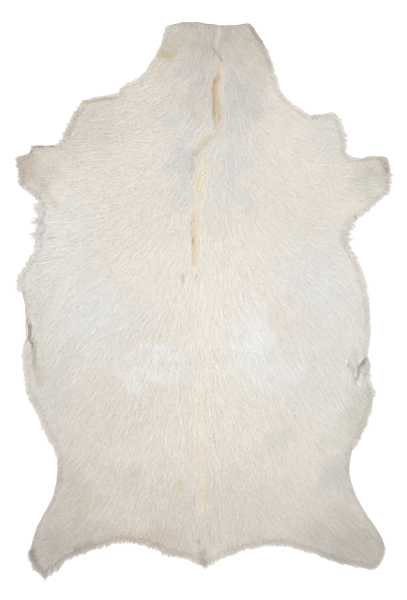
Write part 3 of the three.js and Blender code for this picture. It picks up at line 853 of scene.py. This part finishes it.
def to_crease(roots, tips):
    """The share of each hair from root to tip that lies before the first crease it would cross."""
    share = np.ones(len(roots))
    ahead = tips - roots
    for x1, y1, x2, y2, *_ in DEEP_CREASES:
        crease, gap = place(x2, y2) - place(x1, y1), place(x1, y1) - roots
        turn = ahead[:, 0] * crease[1] - ahead[:, 1] * crease[0]
        turn = np.where(np.abs(turn) < 1e-9, 1e-9, turn)
        of_hair = (gap[:, 0] * crease[1] - gap[:, 1] * crease[0]) / turn
        of_crease = (gap[:, 0] * ahead[:, 1] - gap[:, 1] * ahead[:, 0]) / turn
        meets = (of_hair > 0.05) & (of_crease > 0) & (of_crease < 1)
        share = np.where(meets, np.minimum(share, of_hair), share)
    return share


def crease_lips(draw):
    """Roots along the deep creases, on the side that the hair leaves them by."""
    lips = []
    for x1, y1, x2, y2, wide, _ in DEEP_CREASES:
        start, line = place(x1, y1), place(x2, y2) - place(x1, y1)
        share = draw.uniform(0, 1, (int(np.hypot(*line) / CREASE_PITCH), 1))
        on_line = start + share * line
        aside = draw.uniform(0.3, 2.5, share.shape) * wide / 1000
        lips.append(on_line + aside * hair_way(on_line))
    return np.concatenate(lips)


def combed_hairs(roots, shortest, longest, rise, draw):
    """The spines of hairs from root to tip: laid along the coat, in tufts, and cut at the edge.

    A tip lies a hair's length from its root along the hair's way, and is drawn part of the way to
    the tip of its tuft. A hair whose tip would pass the edge by more than the fringe is shortened,
    and one that would cross a crease ends in it.
    """
    tuft = np.floor(roots / TUFT_SIZE + 0.35 * np.sin(roots[:, ::-1] / TUFT_SIZE))
    tuft = (tuft + 0.5) * TUFT_SIZE
    stray = 0.12 * waves(roots, 0.045, 21) + 0.05 * waves(roots, 0.015, 22)
    way = turned(hair_way(roots), stray + draw.normal(0, 0.06, len(roots)))
    length = draw.uniform(shortest, longest, len(roots))[:, None]
    tip = roots + length * way
    tuft_tip = tuft + longest * turned(hair_way(tuft), 0.3 * np.sin(np.abs(tuft).sum(1) * 9e3))
    pull = TUFT_PULL * draw.uniform(0.2, 1, len(roots))[:, None]
    tip = roots + length * unit(tip + pull * (tuft_tip - tip) - roots)
    left = read_chart(inside, roots)
    spare = left - read_chart(inside, tip)
    allowed = left + read_chart(reach, tip) * 0.9 * draw.uniform(0.15, 1, len(roots)) ** 1.5
    cut = np.clip(np.where(spare > 0, allowed / np.maximum(spare, 1e-6), 1), 0.15, 1)[:, None]
    cut = np.minimum(cut, 0.96 * to_crease(roots, tip)[:, None])
    tip = roots + cut * (tip - roots)
    bow = draw.normal(0, 0.012, len(roots))[:, None] * np.stack([-way[:, 1], way[:, 0]], -1)
    knee = (roots + tip) / 2 + bow * length * cut
    lift = draw.normal(rise, LOOSE_LIFT, len(roots))
    tip_lift = draw.normal(0, LOOSE_LIFT, len(roots))
    root_z = lie_height(roots) - ROOT_SINKS
    knee_z = np.maximum(lie_height(knee) - KNEE_SINKS + lift, 0.0005)
    tip_z = np.maximum(lie_height(tip) - TIP_SINKS + lift + tip_lift, 0.0004)
    return np.stack([np.c_[roots, root_z], np.c_[knee, knee_z], np.c_[tip, tip_z]], 1)


def colours_along(spines):
    """The coat's colours on the points of spindles: one at the root and the tip, three at a knee.

    A hair is nearly one colour, so the places are drawn most of the way to the hair's middle.
    """
    hairs, steps = spines.shape[:2]
    middle = spines.mean(1, keepdims=True)
    places = middle + OWN_COLOUR * (spines - middle)
    colour = coat_colours(places[..., :2].reshape(-1, 2)).reshape(hairs, steps, 3)
    return np.repeat(colour, [1] + [3] * (steps - 2) + [1], axis=1)


goat_hair = hair_material()
for layer, (shortest, longest, half_width, rise, tone) in COAT_LAYERS.items():
    roots = scatter(HAIRS_IN_A_LAYER, rng)
    roots = np.concatenate([roots[fold_rise(roots) > -CREASE_BARE], crease_lips(rng)])
    spines = combed_hairs(roots, shortest, longest, rise, rng)
    thick = half_width * rng.uniform(0.7, 1.4, (len(roots), 1))
    tones = tone * rng.normal(1, 0.008, len(roots)) * (1 + 0.004 * waves(roots, 0.01, 31))
    warm = 1 + rng.normal(0, 0.005, (len(roots), 1)) * np.array([[1, 0, -1.6]])
    colour = colours_along(spines) * (tones[:, None] * warm)[:, None]
    hair_spindles(layer, spines, thick, 0.1 * thick, colour, goat_hair)


# The fringe
# The longer hair at the rim, which grows just inside the edge, reaches past it and lies on the
# floor. It is long and soft under the legs, short on the back, and shorn where the skin is cut.

FRINGE_PITCH = 0.00025
WISP_PITCH = 0.0045
WISP_PULL = 0.8
FRINGE_ROOT = 0.009
FRINGE_HALF_WIDTH = 0.00021
FRINGE_SINKS = 0.0004
FRINGE_KNEES = (0.35, 0.7)
OUTWARD_PULL = 0.7
CUT_REACH = 0.0005
SHORN_ROOT = 0.0004
SHORN_LENGTH = 0.012
LYING_IN = 0.5
# Painted shade: the fringe's colour at its root, under the coat's edge.
FRINGE_ROOT_SHADE = 0.96
STUBS = 0.5
STUB_SHARE = 0.22
# The stubs' dark tone stands for the cut edge's own dark colour together with painted shade along
# the cut.
STUB_EDGE_AND_SHADE = 0.5

# The hairs stand a pitch apart along the edge, except where it is cut and the hair lies outwards.
edge_next = np.roll(EDGE, -1, axis=0)
edge_lengths = np.hypot(*(edge_next - EDGE).T)
edge_walk = np.concatenate([[0], np.cumsum(edge_lengths)])
walked = np.arange(0, edge_walk[-1], FRINGE_PITCH)
walked = walked + rng.uniform(0, FRINGE_PITCH, len(walked))
stretch = np.clip(np.searchsorted(edge_walk, walked) - 1, 0, len(EDGE) - 1)
share = ((walked - edge_walk[stretch]) / edge_lengths[stretch])[:, None]
rim = EDGE[stretch] + share * (edge_next - EDGE)[stretch]
outward = unit((edge_next - EDGE)[stretch])[:, ::-1] * [-1, 1]
passing = EDGE_REACH[stretch]
inwards = (hair_way(rim) * outward).sum(1) < -0.15
grows = (passing > CUT_REACH) | inwards
rim, outward, passing, inwards = rim[grows], outward[grows], passing[grows], inwards[grows]
walked = walked[grows]
# They gather in wisps, each with its own middle, reach and swing, and a few hairs straggle past.
wisp = np.floor(walked / WISP_PITCH + 0.4 * np.sin(walked / (1.7 * WISP_PITCH))).astype(int)
wisp_draw = rng.uniform(0, 1, (3, wisp.max() + 1))[:, wisp]
wisp_middle = (wisp + 0.3 + 0.4 * wisp_draw[0]) * WISP_PITCH
straggle = rng.uniform(0, 1, len(rim))
passing = passing * (0.3 + 0.4 * straggle + 1.1 * straggle**5 + 0.7 * wisp_draw[1] ** 2)
swing = 0.5 * (wisp_draw[2] - 0.5) + rng.normal(0, 0.12, len(rim))
# Shorn hair lies the body's way: all of it at a cut, and a share where the hair lies inwards.
clipped = (passing <= CUT_REACH)[:, None]
shorn = clipped | (inwards & (rng.uniform(0, 1, len(rim)) < LYING_IN))[:, None]
pulled_way = unit(hair_way(rim) + OUTWARD_PULL * outward)
fringe_way = np.where(shorn, turned(hair_way(rim), swing), turned(pulled_way, swing))
root_depth = FRINGE_ROOT * rng.uniform(0.3, 1.3, len(rim))[:, None]
fringe_root = rim - np.where(shorn, SHORN_ROOT * outward, root_depth * fringe_way)
stubs = clipped & (rng.uniform(0, 1, (len(rim), 1)) < STUBS)
shorn_reach = SHORN_LENGTH * np.where(stubs, STUB_SHARE, 1) * rng.uniform(0.4, 1, (len(rim), 1))
fringe_tip = rim + np.where(shorn, shorn_reach, passing[:, None]) * fringe_way
to_middle = WISP_PULL * np.clip(wisp_middle - walked, -WISP_PITCH, WISP_PITCH)[:, None]
fringe_tip = fringe_tip + np.where(shorn, 0, to_middle) * outward[:, ::-1] * [1, -1]
to_tip = fringe_tip - fringe_root
bow = rng.normal(0, 0.08, len(rim))[:, None] * to_tip[:, ::-1] * [-1, 1]
near_knee = fringe_root + FRINGE_KNEES[0] * to_tip + 0.6 * bow
far_knee = fringe_root + FRINGE_KNEES[1] * to_tip + bow
lift = np.abs(rng.normal(0, 0.0004, len(rim)))
spines = np.stack(
    [
        np.c_[fringe_root, lie_height(fringe_root) - FRINGE_SINKS],
        np.c_[near_knee, lie_height(near_knee) + 0.3 * lift],
        np.c_[far_knee, lie_height(far_knee) + lift],
        np.c_[fringe_tip, lie_height(fringe_tip) + 0.8 * lift],
    ],
    1,
)
thick = FRINGE_HALF_WIDTH * rng.uniform(0.6, 1.4, (len(rim), 1)) * [[1, 0.55]]
# Grown hair is darker at the root than at the tip, as painted shade under the coat's edge, and a
# stub is dark all along, standing for the dark cut edge and the painted shade along it.
along_hair = np.repeat([0, *FRINGE_KNEES, 1], [1, 3, 3, 1])
grown_tone = FRINGE_ROOT_SHADE + (1 - FRINGE_ROOT_SHADE) * along_hair
clipped_tone = np.where(stubs, STUB_EDGE_AND_SHADE, 1)
tones = np.where(clipped, clipped_tone, grown_tone) * rng.normal(1, 0.03, (len(rim), 1))
fringe = hair_spindles(
    "fringe", spines, thick, 0.25 * thick, colours_along(spines) * tones[..., None], goat_hair
)


# The room
# A plain white floor under soft even light, with the camera straight above the hide.

FLOOR_SIZE = 12
FLOOR_DROP = 0.0004
VIEW_LENGTH = 0.975
VIEW_CENTRE = (0.0024, 0.0024)
CAMERA_HEIGHT = 3.2
SENSOR = 36

half = FLOOR_SIZE / 2
corners = np.array([[-half, -half], [half, -half], [half, half], [-half, half]])
floor = build_mesh("floor", np.c_[corners, np.full(4, -FLOOR_DROP)], np.array([[0, 1, 2, 3]]))
floor_paint, shader = new_material("white_floor")
shader.inputs["Base Color"].default_value = (0.93, 0.93, 0.93, 1)
shader.inputs["Roughness"].default_value = 0.9
floor.data.materials.append(floor_paint)

world = bpy.data.worlds.new("studio")
bpy.context.scene.world = world
world.use_nodes = True
world.node_tree.nodes["Background"].inputs["Color"].default_value = (0.968, 0.972, 1, 1)
world.node_tree.nodes["Background"].inputs["Strength"].default_value = 1.265

for name, turn, strength in (("key", (0.3, 0, 0.55), 1.0), ("fill", (0.5, 0, -2.2), 0.2)):
    lamp = bpy.data.lights.new(name, "SUN")
    lamp.energy, lamp.angle = strength, math.radians(30)
    light = bpy.data.objects.new(name, lamp)
    light.rotation_euler = turn
    bpy.context.collection.objects.link(light)

camera = bpy.data.objects.new("camera", bpy.data.cameras.new("camera"))
camera.data.sensor_width = SENSOR
camera.data.lens = SENSOR * CAMERA_HEIGHT / VIEW_LENGTH
camera.location = (*VIEW_CENTRE, CAMERA_HEIGHT)
bpy.context.collection.objects.link(camera)
bpy.context.scene.camera = camera
bpy.context.scene.view_settings.view_transform = "Standard"
